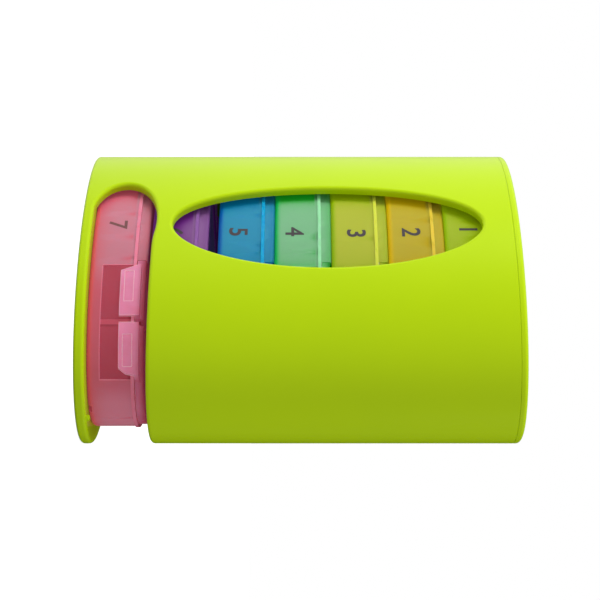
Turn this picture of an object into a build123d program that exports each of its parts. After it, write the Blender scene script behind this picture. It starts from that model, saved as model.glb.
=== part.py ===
from build123d import *
import os

# A weekly pill organizer: an oval tower that holds seven stacked day boxes.
# The tower stands on its base. +Z is up, the front with the long window faces -Y,
# and the bottom box slides out to +X. Millimetres.

# Case: one moulding, closed at the base and open at the top
case_width = 121.0
case_depth = 74.0
tower_height = 150.0
case_wall = 3.0
base_thickness = 3.6
base_recess = 1.2
foot_width = 4.0
opening_edge_radius = 0.8
base_edge_radius = 1.0

# Window in the front wall
window_width = 37.4
window_over_slot = 6.65
window_under_seam = 10.2

# Slot for the bottom box, a little lower at its mouth, with a thumb notch at its closed end
slot_over_box = 1.25
slot_mouth_drop = 0.6
notch_centre_x = -2.0
notch_half_length = 19.6
notch_over_slot = 1.7
notch_under_floor = 1.2
notch_leave_x = 4.0
notch_blend_length = 11.0

# Nub on the base that stops the bottom box from creeping out
nub_inset = 3.1
nub_y = -2.0
nub_radius = 1.2
nub_height = 1.0

# Cap that plugs the top
cap_height = 2.4
cap_edge_radius = 1.4
skirt_height = 3.0
skirt_thickness = 2.0
skirt_clearance = 0.25

# Day box: a tray with four cells, a hub between them and a land behind each hinge
stack_clearance = 0.8
end_clearance = 2.5
side_clearance = 1.6
wall_setback = 0.2
tray_wall = 1.4
tray_floor = 2.2
tray_edge_radius = 1.5
deck_rise = 3.55
rim_band_height = 1.1
rim_band_proud = 0.25
deck_setback = 0.9
deck_thickness = 1.2
deck_edge_radius = 1.1
evening_cell_width = 21.6
noon_cell_width = 12.3
hub_rooms = 3
hub_rib_thickness = 1.2
inner_wall = 1.2
divider_inset = 19.9
divider_thickness = 1.6
cell_corner_radius = 2.0
groove_clearance = 0.3
panel_hub_margin = 2.5
panel_end_inset = 4.7
panel_sill = 4.5
panel_recess = 0.3

# Lids, each on two stub pins at its back edge
lid_side_gap = 0.25
lid_lift = 0.1
lid_drop = 0.45
lid_thickness = 1.1
lid_edge_radius = 0.5
inner_hinge_inset = 9.9
outer_hinge_inset = 19.9
ear_inset = 7.8
barrel_radius = 1.2
barrel_gap = 0.3
pin_radius = 0.7
pin_length = 1.0
pin_clearance = 0.08

# Latch tabs that hang from the lids over the front wall
tab_gap = 0.2
tab_thickness = 0.7
tab_drop = 5.1
tab_rise = 1.7
inner_tab_hub_margin = 3.0
inner_tab_slant = 2.6
outer_tab_inset = 4.6
outer_tab_slant = 0.7
outer_tab_corner_width = 1.2
outer_tab_corner_height = 2.2
evening_grip_margins = (2.8, 4.65)
noon_grip_margins = (2.8, 2.0)
night_grip_margins = (3.65, 2.1)
grip_sill = 1.4
grip_height = 3.1
grip_depth = 0.2

# How the seven boxes lie: the bottom one is pushed to the left, and two gaps are open
bottom_box_shift = -0.8
gap_over_bottom_box = 0.75
gap_over_second_box = 3.3
days = 7

case_half_x = case_width / 2
case_half_y = case_depth / 2
cavity_half_x = case_half_x - case_wall
cavity_half_y = case_half_y - case_wall
seam_height = tower_height - cap_height
stack_height = seam_height - skirt_height - stack_clearance - base_thickness
box_pitch = (stack_height - gap_over_bottom_box - gap_over_second_box) / days
slot_height = box_pitch + slot_over_box
slot_top = base_thickness + slot_height
slot_bottom = base_thickness - opening_edge_radius
tray_half_x = cavity_half_x - end_clearance
tray_half_y = cavity_half_y - side_clearance
rim_height = box_pitch - deck_rise
lid_bottom = rim_height + lid_lift
lid_top = box_pitch - lid_drop
hinge_height = lid_bottom + barrel_radius
inner_hinge_y = tray_half_y - inner_hinge_inset
outer_hinge_y = tray_half_y - outer_hinge_inset
ear_x = tray_half_x - ear_inset
divider_x = tray_half_x - divider_inset
divider_left = divider_x - divider_thickness / 2
divider_right = divider_x + divider_thickness / 2
hub_right_x = divider_left - evening_cell_width
hub_left_x = divider_left - noon_cell_width
far = 2 * case_width


def oval(half_x, half_y, low, high):
    """An upright oval block."""
    return extrude(Pos(0, 0, low) * Ellipse(half_x, half_y), high - low)


def tray_oval(inset, low, high):
    """An upright oval block with the outline of the tray's rim, set in all round."""
    return oval(tray_half_x - inset, tray_half_y - inset, low, high)


def slab(x_range, y_range, z_range):
    """A block between two corners."""
    spans = [x_range, y_range, z_range]
    size = [high - low for low, high in spans]
    centre = [(high + low) / 2 for low, high in spans]
    return Pos(*centre) * Box(*size)


def rod(radius, x_range, y, z):
    """A round bar along X."""
    low, high = x_range
    return Pos((low + high) / 2, y, z) * Rot(0, 90, 0) * Cylinder(radius, high - low)


def front_block(face):
    """A face in X and Z carried from the middle out past the front."""
    return extrude(face, far, dir=(0, -1, 0))


def both_sides(shape):
    """A shape and its mirror image on the other side of the middle."""
    return [shape, mirror(shape, about=Plane.YZ)]


# The slot and its thumb notch, cut through the front and the back alike

notch_half_height = (slot_height + notch_over_slot + notch_under_floor) / 2
notch_centre_z = slot_top + notch_over_slot - notch_half_height
leave_share = (notch_leave_x - notch_centre_x) / notch_half_length
leave_rise = notch_half_height * (1 - leave_share**2) ** 0.5
leave_slope = -leave_share * notch_half_height**2 / (leave_rise * notch_half_length)
blend_start = (notch_leave_x, notch_centre_z + leave_rise)
blend_end = (notch_leave_x + notch_blend_length, slot_top)
mouth_height = slot_top - slot_mouth_drop
mouth_slope = -slot_mouth_drop / (case_half_x - blend_end[0])
handle = notch_blend_length / 3
blend = Bezier(
    blend_start,
    (blend_start[0] + handle, blend_start[1] + handle * leave_slope),
    (blend_end[0] - handle, slot_top - handle * mouth_slope),
    blend_end,
)
slot_sides = Polyline(
    blend_end,
    (case_half_x, mouth_height),
    (far, mouth_height),
    (far, slot_bottom),
    (notch_leave_x, slot_bottom),
    blend_start,
)
slot_face = Plane.XZ * make_face([blend, slot_sides])
notch_face = Plane.XZ * Pos(notch_centre_x, notch_centre_z) * Ellipse(notch_half_length, notch_half_height)
slot = extrude(slot_face, far, both=True)
notch = extrude(notch_face, far, both=True)
notch &= slab((-far, notch_leave_x), (-far, far), (slot_bottom, tower_height))
slot_cut = slot + notch

# Case: the wall with its openings rounded on the outside, then the base that closes it


def is_opening_edge(edge):
    """Whether an edge of the wall runs round an opening on the outside."""
    points = [edge.position_at(share) for share in (0, 0.3, 0.7, 1)]
    outside = [abs((p.X / case_half_x) ** 2 + (p.Y / case_half_y) ** 2 - 1) < 0.001 for p in points]
    between = base_edge_radius < points[1].Z < seam_height - base_edge_radius
    return all(outside) and between and edge.geom_type != GeomType.LINE


wall = oval(case_half_x, case_half_y, base_edge_radius, seam_height)
wall -= oval(cavity_half_x, cavity_half_y, 0, tower_height)
wall -= slot_cut
window_bottom = slot_top + window_over_slot
window_top = seam_height - window_under_seam
window_half_height = (window_top - window_bottom) / 2
window_face = Plane.XZ * Pos(0, window_bottom + window_half_height) * Ellipse(window_width / 2, window_half_height)
wall -= front_block(window_face)
opening_edges = wall.edges().filter_by(is_opening_edge)
wall = fillet(opening_edges.filter_by(lambda edge: edge.position_at(0.3).Z > base_thickness), opening_edge_radius)

base = oval(case_half_x, case_half_y, 0, base_thickness)
base = fillet(base.edges().sort_by(Axis.Z)[-1], opening_edge_radius)
base = fillet(base.edges().sort_by(Axis.Z)[0], base_edge_radius)
base -= oval(case_half_x - foot_width, case_half_y - foot_width, 0, base_recess)
nub = Pos(case_half_x - nub_inset, nub_y, base_thickness + nub_height - nub_radius) * Sphere(nub_radius)
nub &= oval(case_half_x, case_half_y, base_thickness / 2, slot_top)
case = wall + base + nub

# Cap

cap = oval(case_half_x, case_half_y, seam_height, tower_height)
cap = fillet(cap.edges().sort_by(Axis.Z)[-1], cap_edge_radius)
skirt_x = cavity_half_x - skirt_clearance
skirt_y = cavity_half_y - skirt_clearance
skirt = oval(skirt_x, skirt_y, seam_height - skirt_height, seam_height)
skirt -= oval(skirt_x - skirt_thickness, skirt_y - skirt_thickness, 0, seam_height)
cap += skirt

# Tray: every box has the same one, drawn with its underside at zero


def room(x_range, y_range, inset, low, high):
    """The part of an oval room, set in from the rim's outline, that lies in two ranges."""
    return tray_oval(inset, low, high) & slab(x_range, y_range, (low, high))


def front_of_deck(x):
    """How far forward the deck's outline reaches at a distance from the middle."""
    share = x / (tray_half_x - deck_setback)
    return -(tray_half_y - deck_setback) * (1 - share**2) ** 0.5


deck_under = box_pitch - deck_thickness
cell_inset = wall_setback + tray_wall
inner_land_y = inner_hinge_y + barrel_radius + barrel_gap
outer_land_y = outer_hinge_y + barrel_radius + barrel_gap
ear_y = outer_hinge_y - barrel_radius - barrel_gap

# The deck stands on the rim and is set back from it: the hub, the lands and the ears
hub = room((-hub_left_x, hub_right_x), (-far, far), deck_setback, rim_height, box_pitch)
hub_top_edges = hub.faces().sort_by(Axis.Z)[-1].edges().sort_by(Axis.Y)
hub = fillet([hub_top_edges[0], hub_top_edges[-1]], deck_edge_radius)
inner_land = room((hub_right_x, divider_left), (inner_land_y, far), deck_setback, rim_height, box_pitch)
outer_land = room((divider_right, far), (outer_land_y, far), deck_setback, rim_height, box_pitch)
ear = room((ear_x, far), (ear_y, far), deck_setback, rim_height, box_pitch)

# The dividers reach the deck's top, with their front corners cut off at 45 degrees
divider_front = front_of_deck(divider_right)
divider_outline = Polyline(
    (divider_front, tray_floor),
    (divider_front, rim_height),
    (divider_front + box_pitch - rim_height, box_pitch),
    (-divider_front, box_pitch),
    (-divider_front, tray_floor),
    close=True,
)
divider_face = Plane.YZ.offset(divider_left) * make_face(divider_outline)
divider = extrude(divider_face, divider_thickness, dir=(1, 0, 0))

# Cells for the pills, and the hollows under the lands, which are open below
outer_cell = room((divider_right, far), (-far, outer_land_y - inner_wall), cell_inset, tray_floor, far)
outer_cell = fillet(outer_cell.edges().filter_by(Axis.Z), cell_corner_radius)
outer_cell -= slab((ear_x, far), (ear_y, far), (0, far))
outer_room = room((divider_right, ear_x - inner_wall), (outer_land_y, far), cell_inset, 0, deck_under)
hole_radius = pin_radius + pin_clearance


def inner_hollows(hub_x):
    """The inner cell beside the hub, the hollow behind it, its pins' hole and the clear panel."""
    cell = room((hub_x, divider_left), (-far, inner_land_y - inner_wall), cell_inset, tray_floor, far)
    cell = fillet(cell.edges().filter_by(Axis.Z), cell_corner_radius)
    behind = room((hub_x, divider_left), (inner_land_y, far), cell_inset, 0, deck_under)
    hole_x = (hub_x - inner_wall, divider_left + pin_length + pin_clearance)
    panel_x = (hub_x + panel_hub_margin, tray_half_x - panel_end_inset)
    panel = slab(panel_x, (-far, 0), (panel_sill, rim_height - rim_band_height))
    panel -= tray_oval(wall_setback + panel_recess, 0, rim_height)
    return [cell, behind, rod(hole_radius, hole_x, inner_hinge_y, hinge_height), panel]


# The hub is open below and has ribs, and a groove clears the nub on the base
hub_room_width = (hub_left_x + hub_right_x - 2 * inner_wall + hub_rib_thickness) / hub_rooms - hub_rib_thickness
hub_hollows = []
for number in range(hub_rooms):
    start_x = inner_wall - hub_left_x + number * (hub_room_width + hub_rib_thickness)
    hub_hollows.append(room((start_x, start_x + hub_room_width), (-far, far), cell_inset, 0, deck_under))
outer_hole = rod(
    hole_radius,
    (divider_right - pin_length - pin_clearance, ear_x + pin_length + pin_clearance),
    outer_hinge_y,
    hinge_height,
)
groove_half = nub_radius + groove_clearance
groove = slab((-far, far), (nub_y - groove_half, nub_y + groove_half), (0, nub_height + groove_clearance))

tray = tray_oval(wall_setback, 0, rim_height)
tray = fillet(tray.edges().sort_by(Axis.Z)[0], tray_edge_radius)
tray += tray_oval(-rim_band_proud, rim_height - rim_band_height, rim_height)
tray += hub
for piece in (inner_land, outer_land, ear, divider):
    for side in both_sides(piece):
        tray += side
for hollow in (outer_cell, outer_room, outer_hole):
    for side in both_sides(hollow):
        tray -= side
for hollow in inner_hollows(hub_right_x) + hub_hollows:
    tray -= hollow
for hollow in inner_hollows(hub_left_x):
    tray -= mirror(hollow, about=Plane.YZ)
tray -= groove

# Lids: a flat top with a skirt that follows the rim, a hinge barrel and a latch tab

outer_lid_x = (divider_right + lid_side_gap, far)
tab_inside = rim_band_proud + tab_gap
tab_outside = tab_inside + tab_thickness
tab_bottom = rim_height - tab_drop
tab_top = rim_height + tab_rise
outer_tab_x = (outer_lid_x[0], tray_half_x - outer_tab_inset)


def lid_cover(x_range, hinge_y):
    """The lid's top and skirt between two uprights, from the hinge to the front."""
    cover = room(x_range, (-far, hinge_y), deck_setback, lid_bottom, lid_top)
    rim_edges = cover.faces().sort_by(Axis.Z)[-1].edges().filter_by(GeomType.LINE, reverse=True)
    cover = fillet(rim_edges, lid_edge_radius)
    under = lid_top - lid_thickness
    return cover - room((-far, far), (-far, far), deck_setback + lid_thickness, lid_bottom, under)


def lid_hinge(barrel_range, pin_range, hinge_y):
    """The barrel along the lid's back edge, and the pins that stick out of its ends."""
    barrel = rod(barrel_radius, barrel_range, hinge_y, hinge_height)
    return barrel + rod(pin_radius, pin_range, hinge_y, hinge_height)


def lid_tab(outline, x_range, grip_margins):
    """A latch tab of the given outline, that hangs outside the rim, with a sunk finger grip."""
    tab = tray_oval(-tab_outside, tab_bottom, tab_top)
    tab -= tray_oval(-tab_inside, tab_bottom, lid_bottom)
    tab -= tray_oval(deck_setback + lid_thickness / 2, lid_bottom, tab_top)
    tab &= front_block(Plane.XZ * make_face(Polyline(*outline, close=True)))
    grip_low = tab_bottom + grip_sill
    grip_x = (x_range[0] + grip_margins[0], x_range[1] - grip_margins[1])
    grip = slab(grip_x, (-far, 0), (grip_low, grip_low + grip_height))
    return tab - (grip - tray_oval(grip_depth - tab_outside, tab_bottom, tab_top))


def inner_lid(hub_x, grip_margins):
    """The lid of an inner cell, drawn for the right side."""
    lid_x = (hub_x + lid_side_gap, divider_left - lid_side_gap)
    tab_x = (hub_x + inner_tab_hub_margin, lid_x[1])
    lid = lid_cover(lid_x, inner_hinge_y)
    lid += lid_hinge(lid_x, (hub_x - pin_length, divider_left + pin_length), inner_hinge_y)
    outline = [
        (tab_x[0], tab_top),
        (tab_x[1], tab_top),
        (tab_x[1], tab_bottom),
        (tab_x[0] + inner_tab_slant, tab_bottom),
    ]
    return lid + lid_tab(outline, tab_x, grip_margins)


outer_lid = lid_cover(outer_lid_x, outer_hinge_y)
outer_lid -= slab((ear_x - lid_side_gap, far), (ear_y - lid_side_gap, far), (0, box_pitch))
outer_barrel = (outer_lid_x[0], ear_x - lid_side_gap)
outer_lid += lid_hinge(outer_barrel, (divider_right - pin_length, ear_x + pin_length), outer_hinge_y)
outer_lid += lid_tab(
    [
        (outer_tab_x[0], tab_top),
        (outer_tab_x[1], tab_top),
        (outer_tab_x[1] - outer_tab_slant, tab_bottom + outer_tab_corner_height),
        (outer_tab_x[1] - outer_tab_slant - outer_tab_corner_width, tab_bottom),
        (outer_tab_x[0], tab_bottom),
    ],
    outer_tab_x,
    night_grip_margins,
)

# The lids of one box from left to right, named for the times of day that they hold
lids = {
    "morning": mirror(outer_lid, about=Plane.YZ),
    "noon": mirror(inner_lid(hub_left_x, noon_grip_margins), about=Plane.YZ),
    "evening": inner_lid(hub_right_x, evening_grip_margins),
    "night": outer_lid,
}

# The stack: day 7 lies on the base, and day 1 is at the top
parts = {"case": case, "cap": cap}
height = base_thickness
gaps_below = {days - 1: gap_over_bottom_box, days - 2: gap_over_second_box}
for day in range(days, 0, -1):
    height += gaps_below.get(day, 0)
    place = Pos(bottom_box_shift if day == days else 0, 0, height)
    parts[f"day{day}_tray"] = place * tray
    for time_of_day, lid in lids.items():
        parts[f"day{day}_lid_{time_of_day}"] = place * lid
    height += box_pitch

os.makedirs("parts", exist_ok=True)
for name, shape in parts.items():
    export_step(shape, f"parts/{name}.step")
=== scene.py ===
import math
from collections import namedtuple

import bmesh
import bpy
import numpy as np
from mathutils import Matrix, Vector, geometry


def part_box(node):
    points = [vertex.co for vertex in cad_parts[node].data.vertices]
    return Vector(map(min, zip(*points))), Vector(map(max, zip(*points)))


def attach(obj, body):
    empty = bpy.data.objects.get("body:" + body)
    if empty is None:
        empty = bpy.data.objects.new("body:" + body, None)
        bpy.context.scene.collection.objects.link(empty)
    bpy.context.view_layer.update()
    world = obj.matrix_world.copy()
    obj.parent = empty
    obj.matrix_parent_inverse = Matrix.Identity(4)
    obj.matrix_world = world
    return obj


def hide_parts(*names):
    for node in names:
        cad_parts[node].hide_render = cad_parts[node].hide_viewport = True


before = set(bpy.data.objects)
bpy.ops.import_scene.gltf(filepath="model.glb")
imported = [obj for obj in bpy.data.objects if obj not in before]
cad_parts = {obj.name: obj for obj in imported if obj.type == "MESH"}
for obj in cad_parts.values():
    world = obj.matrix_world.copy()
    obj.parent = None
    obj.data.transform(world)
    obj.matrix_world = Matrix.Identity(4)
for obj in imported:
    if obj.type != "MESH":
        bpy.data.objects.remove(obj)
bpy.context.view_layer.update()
MM = 0.001

# Camera. It looks level at the standing tower from its right front, and is rolled a quarter
# turn, so the tower lies on its side in the picture with its base at the left.
camera_azimuth = math.radians(41.9)
camera_distance = 563 * MM
camera_height = 74.7 * MM
camera_aside = 1.97 * MM
camera_lens = 93.94
camera_sensor = 36

backward = Vector((math.sin(camera_azimuth), -math.cos(camera_azimuth), 0))
picture_right = Vector((0, 0, 1))
picture_up = backward.cross(picture_right)
camera = bpy.data.objects.new("camera", bpy.data.cameras.new("camera"))
bpy.context.collection.objects.link(camera)
camera.data.sensor_width = camera_sensor
camera.data.lens = camera_lens
turn = Matrix((picture_right, picture_up, backward)).transposed()
spot = camera_distance * backward - camera_aside * picture_up + camera_height * picture_right
camera.matrix_world = Matrix.Translation(spot) @ turn.to_4x4()
bpy.context.scene.camera = camera

# Case. One glossy lime moulding: an oval wall with a long window in the front, and a slot at
# the base that ends in a thumb notch, front and back. Every opening has a rounded outer rim.
case_half_x, case_half_y, seam_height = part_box("case")[1]
case_wall = 3.0 * MM
base_thickness = 3.6 * MM
base_recess = 1.2 * MM
foot_width = 4.0 * MM
rim_radius = 1.3 * MM
base_edge_radius = 1.0 * MM
seam_edge_radius = 0.25 * MM
window_half_width = 18.6 * MM
window_half_height = 53.0 * MM
window_centre_height = 84.2 * MM
slot_top = 24.3 * MM
slot_mouth_drop = 0.6 * MM
notch_centre_x = -2.0 * MM
notch_centre_height = 14.2 * MM
notch_half_length = 19.2 * MM
notch_half_height = 11.3 * MM
notch_leave_x = 4.0 * MM
notch_blend_length = 11.0 * MM
nub_place = Vector((57.4, -2.0, 3.4)) * MM
nub_radius = 1.2 * MM
rim_steps = 6
turns_round = 168
length_steps = 4000
window_points = 180
notch_points = 70
blend_points = 16
mouth_points = 90
floor_points = 120
nub_points = 32
nub_levels = 10
skin_spacing = 2.6 * MM
outline_gap = 0.6 * skin_spacing
floor_gap = 0.5 * skin_spacing
weld_distance = 1e-6
touch_distance = 1e-5
join_angle = 0.01
outer_oval = (case_half_x, case_half_y)
inner_oval = (case_half_x - case_wall, case_half_y - case_wall)


class Skin:
    """Gathers the patches of one moulding with their exact normals, and joins them."""

    def __init__(self):
        self.points, self.normals, self.faces = [], [], []
        self.count = 0

    def patch(self, points, normals, faces):
        """Adds a patch. Each face is turned so that it looks along its normals."""
        points, normals = np.reshape(points, (-1, 3)), np.reshape(normals, (-1, 3))
        for face in faces:
            corners = points[face]
            across = np.cross(corners[1] - corners[0], corners[-1] - corners[0])
            across += np.cross(corners[2] - corners[1], corners[0] - corners[1])
            if across @ normals[face].mean(0) < 0:
                face = face[::-1]
            self.faces.append([index + self.count for index in face])
        self.points.append(points)
        self.normals.append(normals)
        self.count += len(points)

    def strip(self, rows, normals):
        """Adds the closed patch between rings of points, each with as many points as the last."""
        rows = np.asarray(rows)
        high, wide = rows.shape[:2]
        faces = []
        for row in range(high - 1):
            here, above = row * wide, (row + 1) * wide
            for i in range(wide):
                following = (i + 1) % wide
                faces.append([here + i, here + following, above + following, above + i])
        self.patch(rows, normals, faces)

    def disc(self, ring, normal):
        """Adds a flat patch inside a ring of points."""
        ring = np.asarray(ring)
        points = np.vstack([ring, ring.mean(0)])
        faces = [[i, (i + 1) % len(ring), len(ring)] for i in range(len(ring))]
        self.patch(points, np.tile(normal, (len(points), 1)), faces)

    def piece(self, name, material):
        """Welds the patches into one mesh object that keeps the exact normals."""
        points, normals = np.vstack(self.points), np.vstack(self.normals)
        keys = np.round(points / weld_distance).astype(np.int64)
        _, first, same = np.unique(keys, axis=0, return_index=True, return_inverse=True)
        same = same.ravel()
        faces, corner_normals = [], []
        for face in self.faces:
            corners = [(same[i], i) for i in face]
            kept = [pair for n, pair in enumerate(corners) if pair[0] != corners[n - 1][0]]
            if len(kept) > 2:
                faces.append([int(pair[0]) for pair in kept])
                corner_normals.extend(normals[pair[1]] for pair in kept)
        mesh = bpy.data.meshes.new(name)
        mesh.from_pydata(points[first].tolist(), [], faces)
        mesh.polygons.foreach_set("use_smooth", [True] * len(faces))
        mesh.normals_split_custom_set([tuple(normal) for normal in corner_normals])
        mesh.materials.append(material)
        thing = bpy.data.objects.new(name, mesh)
        bpy.context.collection.objects.link(thing)
        return thing


def unit(vectors):
    """Vectors of length one, along the last axis."""
    return vectors / np.linalg.norm(vectors, axis=-1, keepdims=True)


def on_oval(oval, angle, height):
    """Points on an upright oval wall."""
    angle, height = np.broadcast_arrays(angle, height)
    return np.stack([oval[0] * np.cos(angle), oval[1] * np.sin(angle), height], -1)


def oval_normal(oval, angle):
    """Which way an upright oval wall faces."""
    return unit(np.stack([oval[1] * np.cos(angle), oval[0] * np.sin(angle), 0 * angle], -1))


def front_angle(oval, x):
    """The angle on the front half of an oval at a distance to the right."""
    return -np.arccos(np.clip(x / oval[0], -1, 1))


def inside(points, outline):
    """Which flat points lie inside a closed outline."""
    x, y = points[:, :1], points[:, 1:]
    x0, y0 = outline[:, 0], outline[:, 1]
    x1, y1 = np.roll(x0, -1), np.roll(y0, -1)
    with np.errstate(divide="ignore", invalid="ignore"):
        crossing = (x1 - x0) * (y - y0) / (y1 - y0) + x0
    return (((y0 > y) != (y1 > y)) & (x < crossing)).sum(1) % 2 == 1


around = np.linspace(-math.pi, math.pi, turns_round + 1)


def wall_skin(skin, oval, low, high, bottom_angles, openings, facing):
    """Adds an upright oval wall between two heights, with openings cut out of it.
    Each opening is a list of angles and a list of heights."""
    fine = np.linspace(-math.pi, math.pi, length_steps + 1)
    steps = np.linalg.norm(np.diff(on_oval(oval, fine, 0), axis=0), axis=1)
    length = np.concatenate([[0], np.cumsum(steps)])

    def flat(angles, heights):
        """Places on the wall as if it were unrolled."""
        return np.stack([np.interp(angles, fine, length), heights], -1)

    rows = np.linspace(low, high, round((high - low) / skin_spacing) + 1)
    edge_angles = [bottom_angles, around, 0 * rows[1:-1] - math.pi, 0 * rows[1:-1] + math.pi]
    edge_heights = [0 * bottom_angles + low, 0 * around + high, rows[1:-1], rows[1:-1]]
    inner_angles, inner_heights = np.meshgrid(around[1:-1], rows[1:-1])
    inner_angles, inner_heights = inner_angles.ravel(), inner_heights.ravel()
    grid = flat(inner_angles, inner_heights)
    keep = np.ones(len(grid), bool)
    outlines = [flat(*opening) for opening in openings]
    for outline in outlines:
        keep &= ~inside(grid, outline)
        near = np.linalg.norm(grid[:, None] - outline[None], axis=2).min(1)
        keep &= near > outline_gap
    keep &= grid[:, 1] > low + floor_gap
    cut_angles = [opening[0] for opening in openings]
    cut_heights = [opening[1] for opening in openings]
    angles = np.concatenate(edge_angles + [inner_angles[keep]] + cut_angles)
    heights = np.concatenate(edge_heights + [inner_heights[keep]] + cut_heights)
    count = len(angles) - sum(len(outline) for outline in outlines)
    edges = []
    for outline in outlines:
        edges += [(count + i, count + (i + 1) % len(outline)) for i in range(len(outline))]
        count += len(outline)
    flat_points = [Vector(point) for point in (flat(angles, heights) / MM).tolist()]
    corners, _, faces, origins, _, _ = geometry.delaunay_2d_cdt(
        flat_points, edges, [], 0, touch_distance
    )
    source = np.array([origin[0] for origin in origins])
    triangles = np.array([list(face) for face in faces])
    centres = np.array(corners)[triangles].mean(1) * MM
    solid = np.ones(len(triangles), bool)
    for outline in outlines:
        solid &= ~inside(centres, outline)
    points = on_oval(oval, angles, heights)[source]
    normals = facing * oval_normal(oval, angles)[source]
    skin.patch(points, normals, triangles[solid].tolist())


def rounded_rim(skin, outer_angles, inner_angles, heights, into):
    """Adds the rounded outer rim of an opening and its cut through the wall, and returns the
    angles and heights where the rounding starts on the outer skin."""
    edge = on_oval(outer_oval, outer_angles, heights)
    outward = oval_normal(outer_oval, outer_angles)
    lean = (outward * into).sum(1, keepdims=True)
    centre = edge - rim_radius / (1 + lean) * (outward + into)
    start = centre + rim_radius * outward
    start_angles = np.arctan2(start[:, 1] / outer_oval[1], start[:, 0] / outer_oval[0])
    start_heights = start[:, 2]
    spread = np.arccos(np.clip(lean, -1, 1))
    normals = []
    for step in range(rim_steps + 1):
        share = step / rim_steps
        normal = np.sin((1 - share) * spread) * outward + np.sin(share * spread) * into
        normals.append(normal / np.sin(spread))
    rows = [centre + rim_radius * normal for normal in normals]
    rows[0] = on_oval(outer_oval, start_angles, start_heights)
    skin.strip(rows, normals)
    skin.strip([rows[-1], on_oval(inner_oval, inner_angles, heights)], [into, into])
    return start_angles, start_heights


# The window's rim
case_skin = Skin()
window_swing = np.linspace(0, 2 * math.pi, window_points, endpoint=False)
window_cos, window_sin = np.cos(window_swing), np.sin(window_swing)
window_x = window_half_width * window_cos
window_z = window_centre_height + window_half_height * window_sin
window_outward = [window_half_height * window_cos, 0 * window_swing, window_half_width * window_sin]
window_into = -unit(np.stack(window_outward, -1))
window_inner = front_angle(inner_oval, window_x)
window_start = rounded_rim(
    case_skin, front_angle(outer_oval, window_x), window_inner, window_z, window_into
)

# The slot's rim: the notch's curve in front, nearly level round the right end, the same curve
# at the back, and level along the base
floor_swing = math.pi + math.asin((notch_centre_height - base_thickness) / notch_half_height)
leave_swing = math.acos((notch_leave_x - notch_centre_x) / notch_half_length)
notch_swing = np.linspace(floor_swing, leave_swing, notch_points)
curve_x = notch_centre_x + notch_half_length * np.cos(notch_swing)
curve_z = notch_centre_height + notch_half_height * np.sin(notch_swing)
leave_slope = -notch_half_height / notch_half_length / math.tan(leave_swing)
leave_point = np.array([curve_x[-1], curve_z[-1]])
level_point = np.array([notch_leave_x + notch_blend_length, slot_top])
mouth_slope = -slot_mouth_drop / (case_half_x - level_point[0])
handle = notch_blend_length / 3
leave_handle = leave_point + [handle, handle * leave_slope]
level_handle = level_point - [handle, handle * mouth_slope]
bend = np.linspace(0, 1, blend_points)[1:, None]
blend = (
    (1 - bend) ** 3 * leave_point + 3 * bend * (1 - bend) ** 2 * leave_handle
    + 3 * bend**2 * (1 - bend) * level_handle + bend**3 * level_point
)
curve_x = np.concatenate([curve_x, blend[:, 0]])
curve_z = np.concatenate([curve_z, blend[:, 1]])
along = np.stack([np.gradient(curve_x), np.gradient(curve_z)], -1)
curve_into = unit(np.stack([along[:, 1], 0 * curve_x, -along[:, 0]], -1))
curve_into[0] = unit(curve_into[0] + [0, 0, 1])


def right_end(x, steps):
    """Angles round the right end from the front to the back, between equal distances to the
    right, for the outer and the inner oval."""
    front = [front_angle(oval, x) for oval in (outer_oval, inner_oval)]
    return [np.linspace(angle, -angle, steps)[1:-1] for angle in front]


top_outer, top_inner = right_end(curve_x[-1], mouth_points)
floor_outer, floor_inner = right_end(curve_x[0], floor_points)
top_z = slot_top + mouth_slope * (case_half_x * np.cos(top_outer) - curve_x[-1])


def whole_rim(curve, top, floor, back_sign):
    """One value round the slot's rim, from those of its front curve and its two level runs."""
    return np.concatenate([curve, top, back_sign * curve[::-1], floor[::-1]])


def level(points, direction):
    """One straight direction for each of some points."""
    return np.tile(direction, (len(points), 1))


slot_outer = whole_rim(front_angle(outer_oval, curve_x), top_outer, floor_outer, -1)
slot_inner = whole_rim(front_angle(inner_oval, curve_x), top_inner, floor_inner, -1)
slot_z = whole_rim(curve_z, top_z, 0 * floor_outer + base_thickness, 1)
down, up = np.array([0, 0, -1]), np.array([0, 0, 1])
top_into = unit(np.array([mouth_slope, 0, -1]))
slot_into = whole_rim(curve_into, level(top_outer, top_into), level(floor_outer, up), 1)
slot_start = rounded_rim(case_skin, slot_outer, slot_inner, slot_z, slot_into)

# The wall's outer and inner skins
wall_skin(
    case_skin, outer_oval, base_edge_radius, seam_height - seam_edge_radius, around,
    [window_start, slot_start], 1,
)
floor_start, floor_end = slot_inner[0], -slot_inner[0]
closed_floor = around[(around < floor_start - join_angle) | (around > floor_end + join_angle)]
bottom_inner = np.sort(np.concatenate([closed_floor, [floor_start, floor_end], floor_inner]))
wall_skin(
    case_skin, inner_oval, base_thickness, seam_height, bottom_inner,
    [(window_inner, window_z), (slot_inner, slot_z)], -1,
)
case_skin.disc(on_oval(inner_oval, bottom_inner[:-1], base_thickness), up)

# The wall's top edge, and the base's rounded edge, foot and recess below
circle = around[:-1]
sideways = oval_normal(outer_oval, circle)


def rounded_edge(skin, height, radius, end):
    """Adds a rounding from the outer skin to the flat at a height, above or below."""
    rows, normals = [], []
    for step in range(rim_steps + 1):
        swing = math.pi / 2 * step / rim_steps
        normal = math.cos(swing) * sideways + math.sin(swing) * np.array([0, 0, end])
        wall = on_oval(outer_oval, circle, height - end * radius)
        rows.append(wall + radius * (normal - sideways))
        normals.append(normal)
    skin.strip(rows, normals)
    return rows[-1]


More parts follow.
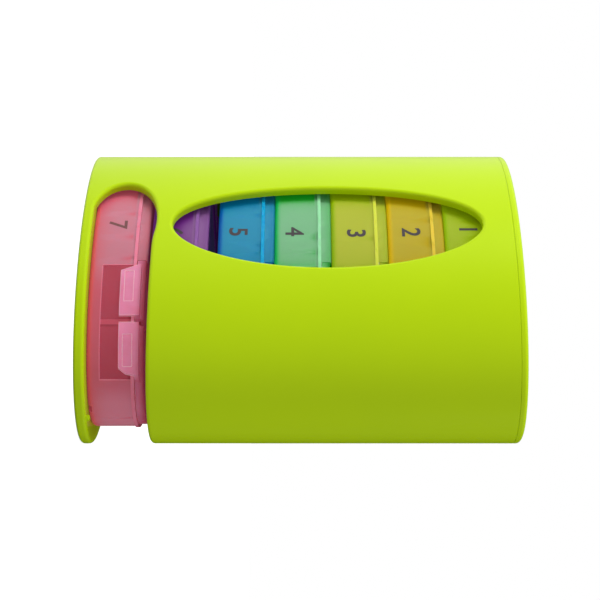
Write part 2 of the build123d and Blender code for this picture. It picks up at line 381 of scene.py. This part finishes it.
top_ring = rounded_edge(case_skin, seam_height, seam_edge_radius, 1)
case_skin.strip([top_ring, on_oval(inner_oval, circle, seam_height)], [level(circle, up)] * 2)
foot_ring = rounded_edge(case_skin, 0, base_edge_radius, -1)
foot_oval = (case_half_x - foot_width, case_half_y - foot_width)
foot_inside = on_oval(foot_oval, circle, 0)
recess_ring = on_oval(foot_oval, circle, base_recess)
case_skin.strip([foot_ring, foot_inside], [level(circle, down)] * 2)
case_skin.strip([foot_inside, recess_ring], [-oval_normal(foot_oval, circle)] * 2)
case_skin.disc(recess_ring, down)

# The nub on the base's floor, which the bottom box slides over
nub_turn = np.linspace(0, 2 * math.pi, nub_points, endpoint=False)
nub_normals = []
for lift in np.linspace(0, math.pi / 2, nub_levels):
    flat_cos, flat_sin = math.cos(lift) * np.cos(nub_turn), math.cos(lift) * np.sin(nub_turn)
    nub_normals.append(np.stack([flat_cos, flat_sin, 0 * nub_turn + math.sin(lift)], -1))
nub_rows = [np.array(nub_place) + nub_radius * normal for normal in nub_normals]
case_skin.strip(nub_rows, nub_normals)
case_skin.disc(nub_rows[0], down)

# The case's plastic, and what all materials are built with
whole = (0.0, 1.0)
lime = (0.435, 0.62, 0.0, 1)
lime_deep = (0.40, 0.59, 0.0, 1)
lime_clouding = 25.0
case_roughness = (0.27, 0.33)
case_specular = 0.2
case_grain = 1400.0
case_grain_strength = 0.03
grain_depth = 0.02 * MM
cloud_detail = 3.0
grain_detail = 2.0


class NodeTree:
    """Adds nodes to one tree. An input given as a socket is linked, and any other is set."""

    def __init__(self, tree):
        self.tree = tree

    def fill(self, node, inputs):
        """Links or sets some inputs of a node."""
        for key, value in inputs.items():
            if isinstance(value, bpy.types.NodeSocket):
                self.tree.links.new(value, node.inputs[key])
            else:
                node.inputs[key].default_value = value

    def add(self, kind, inputs=None, **settings):
        """Adds a node with its inputs and its own settings."""
        node = self.tree.nodes.new(kind)
        for key, value in settings.items():
            setattr(node, key, value)
        self.fill(node, inputs or {})
        return node

    def maths(self, operation, first, second=0.0):
        """The result of one sum."""
        return self.add("ShaderNodeMath", {0: first, 1: second}, operation=operation).outputs[0]

    def dot(self, first, second):
        """How far two directions agree."""
        node = self.add("ShaderNodeVectorMath", {0: first, 1: second}, operation="DOT_PRODUCT")
        return node.outputs["Value"]

    def mixed(self, factor, first, second):
        """A colour between two others."""
        inputs = {"Factor": factor, "A": first, "B": second}
        return self.add("ShaderNodeMix", inputs, data_type="RGBA").outputs["Result"]

    def ranged(self, value, span, target, kind="LINEAR"):
        """A value that crosses the target span as the first one crosses its own."""
        inputs = {"Value": value, "From Min": span[0], "From Max": span[1]}
        inputs |= {"To Min": target[0], "To Max": target[1]}
        return self.add("ShaderNodeMapRange", inputs, interpolation_type=kind).outputs["Result"]

    def noise(self, place, scale, detail=cloud_detail):
        """Soft spots without a pattern."""
        inputs = {"Vector": place, "Scale": scale, "Detail": detail}
        return self.add("ShaderNodeTexNoise", inputs).outputs["Fac"]

    def grain(self, place, scale, strength):
        """The fine bumps of a moulded surface."""
        height = self.noise(place, scale, grain_detail)
        inputs = {"Height": height, "Strength": strength, "Distance": grain_depth}
        return self.add("ShaderNodeBump", inputs).outputs["Normal"]


def new_material(name):
    """A material with its shader and its node tree."""
    material = bpy.data.materials.new(name)
    material.use_nodes = True
    return material, material.node_tree.nodes["Principled BSDF"], NodeTree(material.node_tree)


def lime_plastic():
    """Glossy coloured plastic, with the faint clouding and fine grain of a moulded part."""
    material, shader, tree = new_material("lime_plastic")
    place = tree.add("ShaderNodeTexCoord").outputs["Object"]
    cloud = tree.noise(place, lime_clouding)
    tree.fill(shader, {
        "Base Color": tree.mixed(cloud, lime, lime_deep),
        "Roughness": tree.ranged(cloud, whole, case_roughness),
        "Normal": tree.grain(place, case_grain, case_grain_strength),
        "Specular IOR Level": case_specular,
    })
    return material


case_material = lime_plastic()
case_shell = case_skin.piece("case_shell", case_material)
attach(case_shell, "case")
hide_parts("case")

# Cap. A flat lime plug of the same plastic, with a softly rounded top edge. Its skirt holds it
# inside the case's wall, and a fine joint shows between the two.
cap_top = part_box("cap")[1].z
skirt_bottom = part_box("cap")[0].z
cap_edge_radius = 1.4 * MM
skirt_clearance = 0.25 * MM
skirt_thickness = 2.0 * MM

cap_skin = Skin()
seam_ring = rounded_edge(cap_skin, seam_height, seam_edge_radius, -1)
lower_side = on_oval(outer_oval, circle, seam_height + seam_edge_radius)
upper_side = on_oval(outer_oval, circle, cap_top - cap_edge_radius)
cap_skin.strip([lower_side, upper_side], [sideways] * 2)
cap_skin.disc(rounded_edge(cap_skin, cap_top, cap_edge_radius, 1), up)
skirt_outside = [half - skirt_clearance for half in inner_oval]
skirt_inside = [half - skirt_thickness for half in skirt_outside]
skirt_levels = (seam_height, skirt_bottom)
skirt_outer = [on_oval(skirt_outside, circle, height) for height in skirt_levels]
skirt_inner = [on_oval(skirt_inside, circle, height) for height in skirt_levels]
cap_skin.strip([seam_ring, skirt_outer[0]], [level(circle, down)] * 2)
cap_skin.strip(skirt_outer, [oval_normal(skirt_outside, circle)] * 2)
cap_skin.strip([skirt_outer[1], skirt_inner[1]], [level(circle, down)] * 2)
cap_skin.strip(skirt_inner, [-oval_normal(skirt_inside, circle)] * 2)
cap_skin.disc(skirt_inner[0], down)
cap_plug = cap_skin.piece("cap_plug", case_material)
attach(cap_plug, "cap")
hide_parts("cap")

# Day boxes. Each is a tray of tinted see-through plastic with frosted walls, clear panels in
# front and a glossy rim. Their colours run from lime at the top to pink at the bottom.
tray_soft_edge = 0.15 * MM
soft_edge_angle = math.radians(35)
flat_angle = math.radians(1)
tray_oval = (54.8 * MM, 32.2 * MM)
wall_share = 0.93
right_panel_x = (15.2 * MM, 50.3 * MM)
left_panel_x = (-50.3 * MM, -24.5 * MM)
panel_range_z = (4.5 * MM, 14.8 * MM)
divider_range_x = (34.3 * MM, 35.9 * MM)
edge_fade = (0.2 * MM, 2.4 * MM)
# Painted light carried through the plastic: where the front's right part is deepened to the clear tint
painted_through_light_x = (13 * MM, 26 * MM)
painted_through_light_y = (-4 * MM, -11 * MM)
painted_through_light_share = 0.75
deck_fade = (15.9 * MM, 19.2 * MM)
deck_share = 0.4
# Painted fill light: the span at the right end that turns to the rim's paler tone
painted_end_light = (49 * MM, 54.5 * MM)
painted_end_light_share = 0.5
# Painted highlight: a fine line in the rim's tone round the clear panels
painted_panel_highlight_line = 0.25 * MM
painted_panel_highlight_line_share = 0.55
# Painted shade in crevices, deepened to the clear tint, with a stronger painted glow there
painted_crevice_shade_reach = 14.0 * MM
painted_crevice_shade_samples = 8
painted_crevice_shade_span = (0.06, 0.45)
painted_crevice_shade_end = (13.4 * MM, 14.2 * MM)
painted_crevice_shade_painted_glow_strength = 0.3
# Painted highlights along the edges of the mouldings
painted_edge_highlight_width = 0.3 * MM
painted_edge_highlight_limit = 0.985
painted_edge_highlight_samples = 6
painted_tray_edge_highlight_share = 0.5
tray_clouding = 60.0
tray_cloud_depth = 0.93
tray_grain = 3000.0
tray_grain_strength = 0.1
frosted_to_glossy = (0.5, 0.2)
solid_to_clear = (1.0, 0.5)
tinted_specular = 0.15
# Painted glow: emission in the clear tint, in place of light carried inside the plastic
tinted_painted_glow_strength = 0.1
tinted_scatter = 0.6
tinted_scatter_depth = 3.0 * MM
tinted_scatter_least = 0.15
times = ("morning", "noon", "evening", "night")


def srgb(red, green, blue):
    """A colour from its screen values."""
    colour = []
    for value in (red, green, blue):
        share = value / 255
        colour.append(share / 12.92 if share < 0.04045 else ((share + 0.055) / 1.055) ** 2.4)
    return (*colour, 1)


def scaled(colour, share):
    """A colour made darker by a share."""
    return tuple(share * value for value in colour[:3]) + (1,)


# The colours of a box's wall, bottom edge, rim, clear panels and lids
Look = namedtuple("Look", "name wall edge rim clear lid")
day_looks = {
    7: Look(
        "pink", wall=srgb(186, 122, 138), edge=srgb(208, 78, 68), rim=srgb(215, 125, 150),
        clear=srgb(186, 82, 100), lid=srgb(240, 162, 200),
    ),
    6: Look(
        "purple", wall=srgb(130, 90, 140), edge=srgb(90, 20, 110), rim=srgb(130, 85, 150),
        clear=srgb(90, 30, 110), lid=srgb(165, 100, 190),
    ),
    5: Look(
        "blue", wall=srgb(46, 130, 161), edge=srgb(0, 70, 160), rim=srgb(15, 145, 190),
        clear=srgb(0, 100, 140), lid=srgb(30, 140, 185),
    ),
    4: Look(
        "green", wall=srgb(116, 167, 128), edge=srgb(0, 160, 80), rim=srgb(140, 200, 155),
        clear=srgb(20, 145, 30), lid=srgb(125, 200, 135),
    ),
    3: Look(
        "yellow_green", wall=srgb(160, 166, 55), edge=srgb(130, 160, 0), rim=srgb(190, 195, 65),
        clear=srgb(125, 150, 0), lid=srgb(185, 195, 65),
    ),
    2: Look(
        "amber", wall=srgb(167, 152, 49), edge=srgb(195, 160, 0), rim=srgb(205, 178, 60),
        clear=srgb(165, 140, 0), lid=srgb(205, 175, 45),
    ),
    1: Look(
        "lime", wall=srgb(150, 168, 45), edge=srgb(130, 165, 0), rim=srgb(180, 200, 75),
        clear=srgb(125, 150, 0), lid=srgb(170, 190, 60),
    ),
}


def softened(node, name, soft_edge, material):
    """A copy of a CAD node's mesh as a piece, with its sharp edges rounded off."""
    form = bmesh.new()
    form.from_mesh(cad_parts[node].data)
    bmesh.ops.remove_doubles(form, verts=form.verts, dist=weld_distance)
    bmesh.ops.dissolve_limit(form, angle_limit=flat_angle, verts=form.verts, edges=form.edges)
    joined = [edge for edge in form.edges if len(edge.link_faces) == 2]
    sharp = [edge for edge in joined if edge.calc_face_angle() > soft_edge_angle]
    bmesh.ops.bevel(
        form, geom=sharp, offset=soft_edge, offset_type="OFFSET", segments=2, profile=0.5,
        affect="EDGES", clamp_overlap=True,
    )
    mesh = bpy.data.meshes.new(name)
    form.to_mesh(mesh)
    form.free()
    mesh.polygons.foreach_set("use_smooth", [True] * len(mesh.polygons))
    mesh.materials.append(material)
    thing = bpy.data.objects.new(name, mesh)
    bpy.context.collection.objects.link(thing)
    thing.modifiers.new("even_shading", "WEIGHTED_NORMAL").weight = 100
    return thing


def see_through(tree, shader, tint, glow, painted_glow_strength):
    """Sets how far light spreads inside tinted plastic, a painted glow that stands in for the light it
    carries along inside, and how little it mirrors."""
    tree.fill(shader, {
        "Emission Color": glow,
        "Emission Strength": painted_glow_strength,
        "Subsurface Weight": tinted_scatter,
        "Subsurface Scale": tinted_scatter_depth,
        "Subsurface Radius": [max(share, tinted_scatter_least) for share in tint[:3]],
        "Specular IOR Level": tinted_specular,
    })


def painted_edge_highlight(tree, share):
    """How near an edge of the moulding lies, for a painted highlight where see-through plastic gathers
    light.
    """
    inputs = {"Radius": painted_edge_highlight_width}
    rounded = tree.add("ShaderNodeBevel", inputs, samples=painted_edge_highlight_samples).outputs[0]
    true = tree.add("ShaderNodeNewGeometry").outputs["Normal"]
    near = tree.maths("LESS_THAN", tree.dot(rounded, true), painted_edge_highlight_limit)
    return tree.maths("MULTIPLY", near, share)


def tray_plastic(look, middle, underside):
    """The tinted plastic of one tray. Its parts are told apart by where they lie in the tray."""
    material, shader, tree = new_material(f"{look.name}_tray_plastic")
    maths, mixed = tree.maths, tree.mixed
    place = tree.add("ShaderNodeTexCoord").outputs["Object"]
    split = tree.add("ShaderNodeSeparateXYZ", {"Vector": place}).outputs
    x = maths("SUBTRACT", split["X"], middle)
    y = split["Y"]
    z = maths("SUBTRACT", split["Z"], underside)

    def less(value):
        """What is left of a whole."""
        return maths("SUBTRACT", 1.0, value)

    def between(value, span):
        """Whether a value lies in a span."""
        return maths("MULTIPLY", maths("GREATER_THAN", value, span[0]), maths("LESS_THAN", value, span[1]))

    def smooth(value, span, top):
        """Runs from nothing at the first end of a span to its top value at the other."""
        return tree.ranged(value, span, (0.0, top), "SMOOTHSTEP")

    across = maths("POWER", maths("DIVIDE", x, tray_oval[0]), 2.0)
    deep = maths("POWER", maths("DIVIDE", y, tray_oval[1]), 2.0)
    out = maths("GREATER_THAN", maths("ADD", across, deep), wall_share**2)
    front = maths("MULTIPLY", out, maths("LESS_THAN", y, 0.0))

    def framed(margin):
        """Where the clear panels lie, grown by a margin at their ends and below."""
        right = (right_panel_x[0] - margin, right_panel_x[1] + margin)
        left = (left_panel_x[0] - margin, left_panel_x[1] + margin)
        spans = maths("MULTIPLY", maths("ADD", between(x, right), between(x, left)), front)
        return maths("MULTIPLY", spans, between(z, (panel_range_z[0] - margin, panel_range_z[1])))

    # The frosted wall, with painted light and shade: painted light carried through the plastic deepens the
    # front's right part, painted fill light gives the right end the rim's tone, and painted shade deepens
    # its crevices
    cloud = tree.noise(place, tray_clouding)
    colour = mixed(cloud, look.wall, scaled(look.wall, tray_cloud_depth))
    # Painted light carried through the plastic deepens the front's right part to the clear tint, but not
    # near the right end
    painted_through_light = maths("MULTIPLY", smooth(x, painted_through_light_x, painted_through_light_share), smooth(y, painted_through_light_y, 1.0))
    colour = mixed(painted_through_light, colour, look.clear)
    # Painted fill light gives the right end the rim's paler tone
    colour = mixed(smooth(x, painted_end_light, painted_end_light_share), colour, look.rim)
    # Painted shade: crevices, found by how closed in each spot is, are deepened to the clear tint, fading
    # out just below the rim
    inputs = {"Distance": painted_crevice_shade_reach}
    openness = tree.add("ShaderNodeAmbientOcclusion", inputs, samples=painted_crevice_shade_samples)
    painted_crevice_shade = smooth(less(openness.outputs["AO"]), painted_crevice_shade_span, 1.0)
    painted_crevice_shade = maths("MULTIPLY", painted_crevice_shade, less(smooth(z, painted_crevice_shade_end, 1.0)))
    colour = mixed(painted_crevice_shade, colour, look.clear)
    colour = mixed(smooth(z, edge_fade, 1.0), look.edge, colour)

    # The rim and the deck over it, the inside, and the clear panels with a fine painted highlight line
    # round them, and painted highlights along the edges
    above = maths("GREATER_THAN", z, panel_range_z[1])
    deck = mixed(smooth(z, deck_fade, deck_share), look.wall, look.clear)
    colour = mixed(above, colour, mixed(maths("GREATER_THAN", z, deck_fade[0]), look.rim, deck))
    colour = mixed(less(out), colour, look.clear)
    panel = framed(0.0)
    # Painted highlight: a fine line in the rim's tone round the panels
    outline = maths("SUBTRACT", framed(painted_panel_highlight_line), panel)
    colour = mixed(maths("MULTIPLY", outline, painted_panel_highlight_line_share), colour, look.rim)
    colour = mixed(panel, colour, look.clear)
    # Painted highlights: edges are lightened to the rim's tone
    colour = mixed(painted_edge_highlight(tree, painted_tray_edge_highlight_share), colour, look.rim)

    glossy = maths("MAXIMUM", panel, maths("MAXIMUM", above, less(out)))
    divider = maths("MULTIPLY", panel, between(maths("ABSOLUTE", x), divider_range_x))
    clearness = maths("MULTIPLY", panel, less(divider))
    tree.fill(shader, {
        "Base Color": colour,
        "Roughness": tree.ranged(glossy, whole, frosted_to_glossy),
        "Alpha": tree.ranged(clearness, whole, solid_to_clear),
        "Normal": tree.grain(place, tray_grain, tray_grain_strength),
    })
    # Painted glow in the clear tint, in place of light carried inside the plastic, stronger in the painted
    # crevice shade
    dim = scaled(look.clear, tinted_painted_glow_strength / painted_crevice_shade_painted_glow_strength)
    glow = mixed(maths("MULTIPLY", painted_crevice_shade, out), dim, look.clear)
    see_through(tree, shader, look.edge, glow, painted_crevice_shade_painted_glow_strength)
    return material


for day, look in day_looks.items():
    tray_low, tray_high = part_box(f"day{day}_tray")
    tray_material = tray_plastic(look, (tray_low.x + tray_high.x) / 2, tray_low.z)
    tray = softened(f"day{day}_tray", f"day{day}_tray_moulding", tray_soft_edge, tray_material)
    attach(tray, f"day{day}_box")
    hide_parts(f"day{day}_tray")

# Lids. Four to a box, of the same tinted plastic, thin and glossy, each on two stub pins with a
# latch tab over the rim. The rim shows through the tabs.
lid_soft_edge = 0.12 * MM
lid_alpha = 0.55
lid_fade = (16.2 * MM, 19.2 * MM)
# Painted highlights on the lids' lower edges, in a near-white tone
painted_lid_edge_highlight_tone = srgb(255, 240, 245)
painted_lid_edge_highlight_share = 0.75
lid_clouding = 90.0
lid_cloud = (0.4, 0.65)
lid_cloud_share = 0.3
lid_roughness = (0.22, 0.3)
# Painted glow of the lids, in place of light carried inside the plastic
lid_painted_glow_strength = 0.2


def lid_plastic(look, underside):
    """The tinted plastic of one box's lids, a little clouded, with paler tabs, painted highlights along
    their lower edges and a painted glow.
    """
    material, shader, tree = new_material(f"{look.name}_lid_plastic")
    place = tree.add("ShaderNodeTexCoord").outputs["Object"]
    z = tree.add("ShaderNodeSeparateXYZ", {"Vector": place}).outputs["Z"]
    z = tree.maths("SUBTRACT", z, underside)
    cloud = tree.noise(place, lid_clouding)
    clouded = tree.ranged(cloud, lid_cloud, (0.0, lid_cloud_share))
    tab = tree.mixed(clouded, look.lid, look.clear)
    colour = tree.mixed(tree.ranged(z, lid_fade, whole, "SMOOTHSTEP"), tab, look.clear)
    low_down = tree.maths("LESS_THAN", z, lid_fade[0])
    # Painted highlights: the edges below the tab's top are lightened to a near-white tone
    edges = tree.maths("MULTIPLY", painted_edge_highlight(tree, painted_lid_edge_highlight_share), low_down)
    tree.fill(shader, {
        "Base Color": tree.mixed(edges, colour, painted_lid_edge_highlight_tone),
        "Roughness": tree.ranged(cloud, whole, lid_roughness),
        "Alpha": lid_alpha,
    })
    # Painted glow in the clear tint, in place of light carried inside the plastic
    see_through(tree, shader, look.edge, look.clear, lid_painted_glow_strength)
    return material


for day, look in day_looks.items():
    lid_material = lid_plastic(look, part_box(f"day{day}_tray")[0].z)
    for time in times:
        lid = softened(
            f"day{day}_lid_{time}", f"day{day}_{time}_lid_moulding", lid_soft_edge, lid_material
        )
        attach(lid, f"day{day}_{time}_lid")
        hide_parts(f"day{day}_lid_{time}")

# Labels. A plain number printed in dark ink on the front of each box, from 1 at the top. One
# node tree sets the number, fills it and wraps it on the tray's oval wall.
label_size = 8.9 * MM
label_weight = 0.16 * MM
label_ink = 0.03 * MM
label_sunk = 0.01 * MM
label_baselines = {7: 5.3, 6: 4.5, 5: 3.95, 4: 3.8, 3: 5.6, 2: 5.0, 1: 5.35}
label_places = {7: -2.8, 6: 0.0, 5: 0.0, 4: 0.0, 3: 0.7, 2: 0.2, 1: -1.2}
ink_spots = 900.0
ink_roughness = (0.45, 0.6)

label_tree = bpy.data.node_groups.new("wrapped_label", "GeometryNodeTree")
label_inputs = {}
for socket_name, kind in {
    "Text": "String", "Size": "Float", "Place": "Vector", "Middle": "Float", "Half Width": "Float",
    "Half Depth": "Float", "Ink": "Float", "Weight": "Float", "Material": "Material",
}.items():
    socket = label_tree.interface.new_socket(
        socket_name, in_out="INPUT", socket_type=f"NodeSocket{kind}"
    )
    label_inputs[socket_name] = socket.identifier
label_tree.interface.new_socket("Geometry", in_out="OUTPUT", socket_type="NodeSocketGeometry")
label_nodes = NodeTree(label_tree)


def label_step(kind, inputs, **settings):
    """The first output of a new node in the label's tree."""
    return label_nodes.add(kind, inputs, **settings).outputs[0]


# The number's outlines, made bolder, filled and cut fine
given = label_nodes.add("NodeGroupInput").outputs
letters = label_step(
    "GeometryNodeStringToCurves", {"String": given["Text"], "Size": given["Size"]},
    align_x="CENTER", align_y="BOTTOM_BASELINE",
)
letters = label_step("GeometryNodeRealizeInstances", {"Geometry": letters})
letters = label_step("GeometryNodeResampleCurve", {"Curve": letters}, mode="EVALUATED")
tangent = label_step("GeometryNodeInputTangent", {})
outwards = label_step("ShaderNodeVectorMath", {0: tangent, 1: (0, 0, 1)}, operation="CROSS_PRODUCT")
bolder = label_step("ShaderNodeVectorMath", {0: outwards, "Scale": given["Weight"]}, operation="SCALE")
letters = label_step("GeometryNodeSetPosition", {"Geometry": letters, "Offset": bolder})
letters = label_step("GeometryNodeFillCurve", {"Curve": letters})
letters = label_step("GeometryNodeSubdivideMesh", {"Mesh": letters, "Level": 2})

# The flat number wrapped on the oval wall, and thickened by its ink
position = label_step("GeometryNodeInputPosition", {})
flat = label_nodes.add("ShaderNodeSeparateXYZ", {"Vector": position}).outputs
shift = label_nodes.add("ShaderNodeSeparateXYZ", {"Vector": given["Place"]}).outputs
wrapped_x = label_nodes.maths("ADD", flat["X"], shift["X"])
wrapped_z = label_nodes.maths("ADD", flat["Y"], shift["Z"])
off_middle = label_nodes.maths("SUBTRACT", wrapped_x, given["Middle"])
width_share = label_nodes.maths("DIVIDE", off_middle, given["Half Width"])
squared = label_nodes.maths("MULTIPLY", width_share, width_share)
depth_share = label_nodes.maths("SQRT", label_nodes.maths("SUBTRACT", 1.0, squared))
depth = label_nodes.maths("MULTIPLY", depth_share, given["Half Depth"])
wrapped_y = label_nodes.maths("MULTIPLY", depth, -1.0)
wrapped = label_step("ShaderNodeCombineXYZ", {"X": wrapped_x, "Y": wrapped_y, "Z": wrapped_z})
letters = label_step("GeometryNodeSetPosition", {"Geometry": letters, "Position": wrapped})
letters = label_step(
    "GeometryNodeExtrudeMesh", {"Mesh": letters, "Offset Scale": given["Ink"], "Individual": False}
)
letters = label_step(
    "GeometryNodeSetMaterial", {"Geometry": letters, "Material": given["Material"]}
)
label_nodes.add("NodeGroupOutput", {"Geometry": letters})


def ink(name, dark, light):
    """Printing ink that is a little uneven."""
    material, shader, tree = new_material(name)
    place = tree.add("ShaderNodeTexCoord").outputs["Object"]
    spots = tree.noise(place, ink_spots)
    tree.fill(shader, {
        "Base Color": tree.mixed(spots, dark, light),
        "Roughness": tree.ranged(spots, whole, ink_roughness),
    })
    return material


dark_ink = ink("label_ink", srgb(52, 44, 50), srgb(66, 58, 62))
pale_ink = ink("pink_label_ink", srgb(105, 60, 62), srgb(118, 74, 74))

for day in day_looks:
    tray_low, tray_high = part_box(f"day{day}_tray")
    middle = (tray_low.x + tray_high.x) / 2
    baseline = tray_low.z + label_baselines[day] * MM
    label = bpy.data.objects.new(f"day{day}_label", bpy.data.meshes.new(f"day{day}_label"))
    bpy.context.collection.objects.link(label)
    wrapping = label.modifiers.new("wrapped_label", "NODES")
    wrapping.node_group = label_tree
    for socket_name, value in {
        "Text": str(day),
        "Size": label_size,
        "Place": (middle + label_places[day] * MM, 0.0, baseline),
        "Middle": middle,
        "Half Width": tray_oval[0] - label_sunk,
        "Half Depth": tray_oval[1] - label_sunk,
        "Ink": label_sunk + label_ink,
        "Weight": label_weight,
        "Material": pale_ink if day == 7 else dark_ink,
    }.items():
        wrapping[label_inputs[socket_name]] = value
    shown = label.evaluated_get(bpy.context.evaluated_depsgraph_get())
    printed_mesh = bpy.data.meshes.new_from_object(shown)
    label.modifiers.clear()
    label.data = printed_mesh
    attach(label, f"day{day}_box")

# Floor, surroundings and lamps. A white floor and an even white room give the plain background,
# and one long softbox lights the tower from its left, with weaker ones from its right and above.
floor_half = 1.5
floor_glow = 0.72
paper_spots = 400.0
paper_tone = (0.53, 0.57)
floor_roughness = 0.9
room_light = 0.68
room_dark_side = -0.9
room_edge = (0.0, 0.6)
key_power = 3.1
key_distance = 0.6
key_angle = math.radians(72)
key_lift = math.radians(12)
key_size = (0.55, 0.22)
fill_power = 0.17
fill_distance = 0.4
fill_angle = math.radians(-75)
fill_lift = math.radians(28)
fill_size = (0.3, 0.2)
top_power = 1.0
top_distance = 0.5
top_lift = math.radians(80)
top_size = (0.3, 0.3)

floor_mesh = bpy.data.meshes.new("floor")
floor_corners = [(x * floor_half, y * floor_half, 0) for x, y in ((-1, -1), (1, -1), (1, 1), (-1, 1))]
floor_mesh.from_pydata(floor_corners, [], [(0, 1, 2, 3)])
floor = bpy.data.objects.new("floor", floor_mesh)
bpy.context.collection.objects.link(floor)
floor_material, floor_shader, floor_tree = new_material("floor_paper")
floor_ray = floor_tree.add("ShaderNodeLightPath").outputs
floor_place = floor_tree.add("ShaderNodeTexCoord").outputs["Object"]
paper = floor_tree.noise(floor_place, paper_spots, grain_detail)
floor_tree.fill(floor_shader, {
    "Base Color": floor_tree.ranged(paper, whole, paper_tone),
    "Emission Color": (1, 1, 1, 1),
    "Emission Strength": floor_tree.maths("MULTIPLY", floor_ray["Is Camera Ray"], floor_glow),
    "Roughness": floor_roughness,
    "Specular IOR Level": 0.0,
})
floor_mesh.materials.append(floor_material)
floor.visible_glossy = False

# The room is white to the camera and even to the object, and glossy surfaces mirror a bright
# side of it that lies above them in the picture
world = bpy.data.worlds.new("white_room")
world.use_nodes = True
world.cycles.sampling_method = "NONE"
bpy.context.scene.world = world
room = NodeTree(world.node_tree)
room_ray = room.add("ShaderNodeLightPath").outputs
direction = room.add("ShaderNodeTexCoord").outputs["Generated"]
camera_side = room.maths("MAXIMUM", room.dot(direction, backward), 0.0)
shaded = room.maths("MULTIPLY", camera_side, room_dark_side)
bright_side = room.maths("ADD", shaded, room.dot(direction, picture_up))
mirrored = room.ranged(bright_side, room_edge, whole)
off_camera = {"Factor": room_ray["Is Glossy Ray"], "A": room_light, "B": mirrored}
lit = room.add("ShaderNodeMix", off_camera).outputs["Result"]
on_camera = {"Factor": room_ray["Is Camera Ray"], "A": lit, "B": 1.0}
seen = room.add("ShaderNodeMix", on_camera).outputs["Result"]
room.fill(world.node_tree.nodes["Background"], {"Color": (1, 1, 1, 1), "Strength": seen})


def softbox(name, angle, lift, distance, size, power):
    """A rectangular lamp that looks at the middle of the tower, its long side upright. Its
    mirror image is left to the room, which is smoother."""
    level_way = math.cos(angle) * backward + math.sin(angle) * picture_up
    direction = math.cos(lift) * level_way + math.sin(lift) * picture_right
    lamp = bpy.data.lights.new(name, "AREA")
    lamp.shape = "RECTANGLE"
    lamp.size, lamp.size_y = size[1], size[0]
    lamp.energy = power
    thing = bpy.data.objects.new(name, lamp)
    bpy.context.collection.objects.link(thing)
    aside = picture_right.cross(direction).normalized()
    facing = Matrix((aside, direction.cross(aside), direction)).transposed()
    lamp_spot = camera_height * picture_right + distance * direction
    thing.matrix_world = Matrix.Translation(lamp_spot) @ facing.to_4x4()
    thing.visible_glossy = False


softbox("key", key_angle, key_lift, key_distance, key_size, key_power)
softbox("fill", fill_angle, fill_lift, fill_distance, fill_size, fill_power)
softbox("top", 0, top_lift, top_distance, top_size, top_power)
bpy.context.scene.view_settings.view_transform = "Standard"
